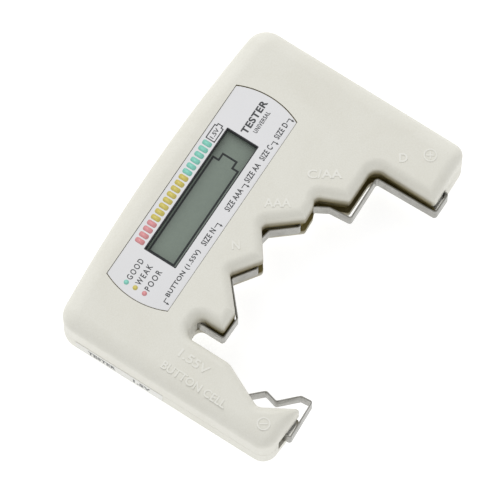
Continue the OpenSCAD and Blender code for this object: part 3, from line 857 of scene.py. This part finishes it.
def zone_ink(name, light, dark):
    return finish(name, light, dark, (0.36, 0.46), grain=5000, bump=0.004)


PINK_INK = zone_ink("pink_zone_ink", (229, 158, 161), (222, 149, 152))
YELLOW_INK = zone_ink("yellow_zone_ink", (217, 203, 110), (210, 195, 100))
GREEN_INK = zone_ink("green_zone_ink", (142, 217, 200), (134, 209, 191))
stood_for = set()               # CAD nodes that pieces made here replace


def dressed(obj, material):
    """Gives a piece its finish."""
    obj.data.materials.clear()
    obj.data.materials.append(material)
    return obj


def placed(obj, slot, body=BODY, replaces=(), material=None):
    """A solid piece of the object: its finish, looked up by the record's slot name, its body and
    the CAD nodes it replaces.
    """
    dressed(obj, material or FINISHES[slot])
    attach(obj, body)
    if replaces:
        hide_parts(*replaces)
        stood_for.update(replaces)
    return obj


def printed(obj, ink):
    """Print on the body, which names no slot."""
    dressed(obj, ink)
    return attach(obj, BODY)


# ---------------------------------------------------------------- the tester's outer pieces
placed(front_shell_moulding(), "ivory_abs", replaces=["front_shell"])
placed(rear_shell_moulding(), "ivory_abs", replaces=["rear_shell"])

label = prism("face_label_sheet", label_outline(0), LABEL_TOP - LABEL_T, LABEL_TOP)
label_window = rounded_rectangle(WINDOW_AT, WINDOW_W, WINDOW_H, 0.2, 3)
carved(label, prism("window", label_window, LABEL_TOP - OVERCUT * 2, LABEL_TOP + OVERCUT * 2))
softened(label, 0.07, 50)
placed(label, "label_film", replaces=["face_label"])

SIDE_X = -HALF_W
SIDE_T = 0.12
SIDE_Y = (-0.5, 25.8)
SIDE_Z = (3.9, 8.7)
side = prism("side_label_paper", [
    (SIDE_X - SIDE_T, SIDE_Y[0]), (SIDE_X, SIDE_Y[0]),
    (SIDE_X, SIDE_Y[1]), (SIDE_X - SIDE_T, SIDE_Y[1])], *SIDE_Z)
softened(side, 0.03, 50)
placed(side, "paper_label", replaces=["side_label"])

CONTACTS = (                    # piece, path, peg, body, CAD node
    ("spring_contact", SPRING_PATH, SPRING_PEG, "spring", "negative_spring"),
    ("long_contact", LONG_PATH, LONG_PEG, "long_strip", "long_positive_strip"),
    ("aaa_contact", AAA_PATH, None, BODY, "aaa_positive_strip"),
    ("small_cell_contact", SMALL_PATH, None, BODY, "small_positive_strip"),
    ("button_cell_plate", BUTTON_PATH, None, BODY, "button_negative_plate"))
for name, path, peg, body, node in CONTACTS:
    placed(contact(name, path, peg), "nickel_plate", body, [node])

screws = [pan_screw("case_screw", post) for post in CASE_POSTS]
placed(joined("case_screw_set", screws), "zinc_steel", replaces=["case_screws"])

# ---------------------------------------------------------------- print on the label
CELL_FIRST_X, CELL_PITCH, CELL_Y = -18.7, 1.83, 25.2
CELL_W, CELL_H, CELL_R = 1.4, 2.65, 0.52


def zone_bar():
    """Row of small cells that grade the charge, from poor to good."""
    zones = (("poor_zone", 4, PINK_INK), ("weak_zone", 8, YELLOW_INK), ("good_zone", 6, GREEN_INK))
    k = 0
    for name, count, ink in zones:
        cells = []
        for _ in range(count):
            centre = (CELL_FIRST_X + k * CELL_PITCH, CELL_Y)
            cells.append(patch("cell", centre, CELL_W, CELL_H, CELL_R, LABEL_TOP))
            k += 1
        printed(joined(name, cells), ink)


def label_words(name, words, x, y, width, height, weight, spacing=1.0):
    printed(lettering(name, words, (x, y, LABEL_TOP), width, height, PRINT_T,
                      weight=weight, spacing=spacing), INK)


zone_bar()
DOT_X, DOT_R, GRADE_X, GRADE_W, GRADE_H = -29.7, 0.67, -25.6, 6.1, 1.6
for key, words, y, ink in (("good", "GOOD", 22.1, GREEN_INK), ("weak", "WEAK", 19.4, YELLOW_INK),
                           ("poor", "POOR", 16.6, PINK_INK)):
    printed(spot(key + "_dot", (DOT_X, y), DOT_R, LABEL_TOP), ink)
    label_words(key + "_word", words, GRADE_X, y, GRADE_W, GRADE_H, 0.014, 1.35)

SIGN_SPANS, SIGN_LINE = (13.7, 17.8, 18.45, 23.85, 26.35, 24.45, 25.75), 0.27
printed(battery_sign("cell_sign", SIGN_SPANS, SIGN_LINE, LABEL_TOP), INK)
label_words("cell_sign_volts", "1.5V", 15.75, 25.1, 3.0, 1.15, 0.02)
label_words("maker_spot_word", "TESTER", 24.95, 19.0, 10.2, 1.95, 0.035, 1.1)
label_words("maker_spot_line", "UNIVERSAL", 24.8, 16.65, 6.6, 1.2, 0.02, 1.15)
ROW_Y, ROW_H = 11.25, 1.6
ARROW_TOP, ARROW_BOTTOM = 11.4, 9.7
SIZES = (("button", "BUTTON (1.55V)", -27.2, -12.6), ("n", "SIZE N", -10.8, -5.8),
         ("aaa", "SIZE AAA", 0.1, 6.9), ("aa", "SIZE AA", 9.3, 15.0),
         ("c", "SIZE C", 16.3, 20.7), ("d", "SIZE D", 23.2, 27.9))
for key, words, x0, x1 in SIZES:
    label_words(key + "_size_word", words, (x0 + x1) / 2, ROW_Y, x1 - x0, ROW_H, 0.022, 1.1)
ARROWS = (("button", -28.9, -27.6, -1), ("n", -5.4, -3.9, 1), ("aaa", 7.2, 8.6, 1),
          ("c", 21.0, 22.2, 1), ("d", 28.2, 29.5, 1))
for key, x0, x1, side_of_turn in ARROWS:
    arrow = hook_arrow(key + "_arrow", x0, x1, ARROW_TOP, ARROW_BOTTOM, LABEL_TOP, side_of_turn)
    printed(arrow, INK)

# ---------------------------------------------------------------- display
DISPLAY_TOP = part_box("display_front_polariser")[1].z / MM
CELL_SPANS, CELL_LINE = (-18.96, 10.83, 12.83, 14.8, 22.3, 16.5, 20.65), 0.52
printed(battery_sign("display_cell_outline", CELL_SPANS, CELL_LINE, DISPLAY_TOP), DISPLAY_INK)
LINING_OUT, LINING_IN, LINING_LOW = 0.04, 0.56, 0.03     # in from the window, and below the label
lining_out = rounded_rectangle(WINDOW_AT, WINDOW_W - LINING_OUT, WINDOW_H - LINING_OUT, 0.2, 3)
lining_in = rounded_rectangle(WINDOW_AT, WINDOW_W - LINING_IN, WINDOW_H - LINING_IN, 0.12, 3)
lining_depth = LABEL_TOP - DISPLAY_TOP - LINING_LOW
lining = hollow("window_lining", lining_out, lining_in, DISPLAY_TOP, lining_depth)
placed(softened(lining, 0.05, 50), "dark_rubber")

# ---------------------------------------------------------------- raised marks on the face
RAISED = 0.13
LOWER_BAR = 0.02                # the second bar of a plus is this much lower, so faces don't meet
MINUS_AT, PLUS_AT = (-42.0, -27.4), (40.8, -24.2)
SIGN_R, SIGN_RING, BAR_HALF = 1.75, 0.36, 1.0
TILT = -57
RAISED_WORDS = (                # words, centre, width, height, turn
    ("D", (36.5, -18.8), 2.2, 2.4, TILT), ("C/AA", (21.9, -4.4), 8.9, 2.4, TILT),
    ("AAA", (8.9, 1.5), 7.0, 2.4, TILT), ("N", (-6.3, 4.2), 2.1, 2.4, TILT),
    ("1.55V", (-37.95, -3.85), 8.9, 2.4, -93),
    ("BUTTON CELL", (-42.95, -7.05), 19.3, 2.3, -91.5))


def sign_bar(centre, degrees):
    c, s = math.cos(math.radians(degrees)), math.sin(math.radians(degrees))
    w, h = BAR_HALF, SIGN_RING / 2
    return [(centre[0] + x * c - y * s, centre[1] + x * s + y * c)
            for x, y in ((-w, -h), (w, -h), (w, h), (-w, h))]


def raised_marks():
    """The moulded signs and cell names, as one piece."""
    marks = [hollow("ring", circle(centre, SIGN_R, 40), circle(centre, SIGN_R - SIGN_RING, 40),
                    BODY_T, RAISED) for centre in (MINUS_AT, PLUS_AT)]
    for centre, turns in ((MINUS_AT, (0,)), (PLUS_AT, (0, 90))):
        for level, extra in enumerate(turns):
            top = BODY_T + RAISED - LOWER_BAR * level
            marks.append(prism("bar", sign_bar(centre, TILT + extra), BODY_T, top))
    for text, at, w, h, turn in RAISED_WORDS:
        marks.append(lettering("word", text, (*at, BODY_T), w, h, RAISED, turn,
                               weight=0.012, rounding=0.012))
    return shaded(joined("raised_face_marks", marks), 40)


# The raised marks are the body's ABS, glossier, with a lighter colour as a painted highlight on
# their tops.
RAISED_MARK_ABS_WITH_HIGHLIGHT = finish("polished_ivory_abs_painted_highlight", (238, 237, 230), (230, 229, 220), (0.36, 0.48),
                  grain=2600, bump=0.01)
placed(raised_marks(), "ivory_abs", material=RAISED_MARK_ABS_WITH_HIGHLIGHT)

# ---------------------------------------------------------------- print on the side label
WALL_RIGHT, WALL_UP = Vector((0, -1, 0)), Vector((0, 0, 1))
SIDE_MID = (SIDE_Z[0] + SIDE_Z[1]) / 2
SIDE_WORD_H = 2.3
for key, words, y0, y1 in (("kind", "TESTER", 22.1, 13.7), ("rating", "1.5V", 8.4, 3.2)):
    at = (SIDE_X - SIDE_T, (y0 + y1) / 2, SIDE_MID)
    printed(lettering(key + "_side_word", words, at, y0 - y1, SIDE_WORD_H, PRINT_T,
                      right=WALL_RIGHT, up=WALL_UP, weight=0.045, spacing=1.1), DISPLAY_INK)

# ---------------------------------------------------------------- the CAD pieces that stay
for piece in frame["record"]["subparts"]:
    if piece["node"] in stood_for:
        continue
    node = frame["nodes"][piece["node"]]
    for holder in node.material_slots:
        holder.material = FINISHES[piece["material_slot"]]

# ---------------------------------------------------------------- floor, light and camera
FLOOR_HALF, FLOOR_Z = 1500, -0.3
FLOOR_GREY, FLOOR_ROUGHNESS, FLOOR_GLOW = 0.5, 0.9, 0.72
SKY = 0.66
LOOK_AT = Vector((-3.8, 1.6, 11.5)) * MM
TO_CAMERA = Vector((-0.2506, -0.1633, 0.9542)).normalized()
CAMERA_RIGHT = Vector((0.546, -0.838, 0)).normalized()
CAMERA_DISTANCE, LENS, SENSOR, FAR_CLIP = 1.68, 475, 36, 100
WHITE = (1, 1, 1, 1)


def floor():
    corners = [(sx * FLOOR_HALF, sy * FLOOR_HALF, FLOOR_Z)
               for sx, sy in ((-1, -1), (1, -1), (1, 1), (-1, 1))]
    sheet = mesh_object("studio_floor", corners, [(0, 1, 2, 3)], smooth=False)
    white = bpy.data.materials.new("white_studio_floor")
    white.use_nodes = True
    shader = white.node_tree.nodes["Principled BSDF"]
    shader.inputs["Base Color"].default_value = (FLOOR_GREY, FLOOR_GREY, FLOOR_GREY, 1)
    shader.inputs["Roughness"].default_value = FLOOR_ROUGHNESS
    shader.inputs["Emission Color"].default_value = WHITE
    shader.inputs["Emission Strength"].default_value = FLOOR_GLOW
    sheet.data.materials.append(white)


def oriented(obj, location, back, right):
    """Stands a lamp or camera at a location, its back and right sides facing given ways."""
    up = back.cross(right).normalized()
    turn = Matrix((right, up, back)).transposed().to_4x4()
    obj.matrix_world = Matrix.Translation(location) @ turn


def area_light(name, direction, distance, size, power):
    lamp = bpy.data.lights.new(name, "AREA")
    lamp.shape = "SQUARE"
    lamp.size = size
    lamp.energy = power
    obj = bpy.data.objects.new(name, lamp)
    bpy.context.scene.collection.objects.link(obj)
    back = direction.normalized()
    side = back.orthogonal().normalized()
    oriented(obj, LOOK_AT + back * distance, back, side)


def studio():
    """A pale floor, soft light from two sides and above, and the camera."""
    floor()
    area_light("key_softbox", Vector((0.55, 0.65, 0.7)), 1.6, 1.1, 10.5)
    area_light("fill_softbox", Vector((-0.8, -0.35, 0.6)), 1.8, 1.4, 2.5)
    world = bpy.data.worlds.new("studio_world")
    bpy.context.scene.world = world
    world.use_nodes = True
    sky = world.node_tree.nodes["Background"]
    sky.inputs["Color"].default_value = WHITE
    sky.inputs["Strength"].default_value = SKY
    bpy.context.scene.view_settings.view_transform = "Standard"
    lens = bpy.data.cameras.new("studio_camera")
    lens.lens = LENS
    lens.sensor_width = SENSOR
    lens.clip_end = FAR_CLIP
    camera = bpy.data.objects.new("studio_camera", lens)
    bpy.context.scene.collection.objects.link(camera)
    oriented(camera, LOOK_AT + TO_CAMERA * CAMERA_DISTANCE, TO_CAMERA, CAMERA_RIGHT)
    bpy.context.scene.camera = camera


studio()
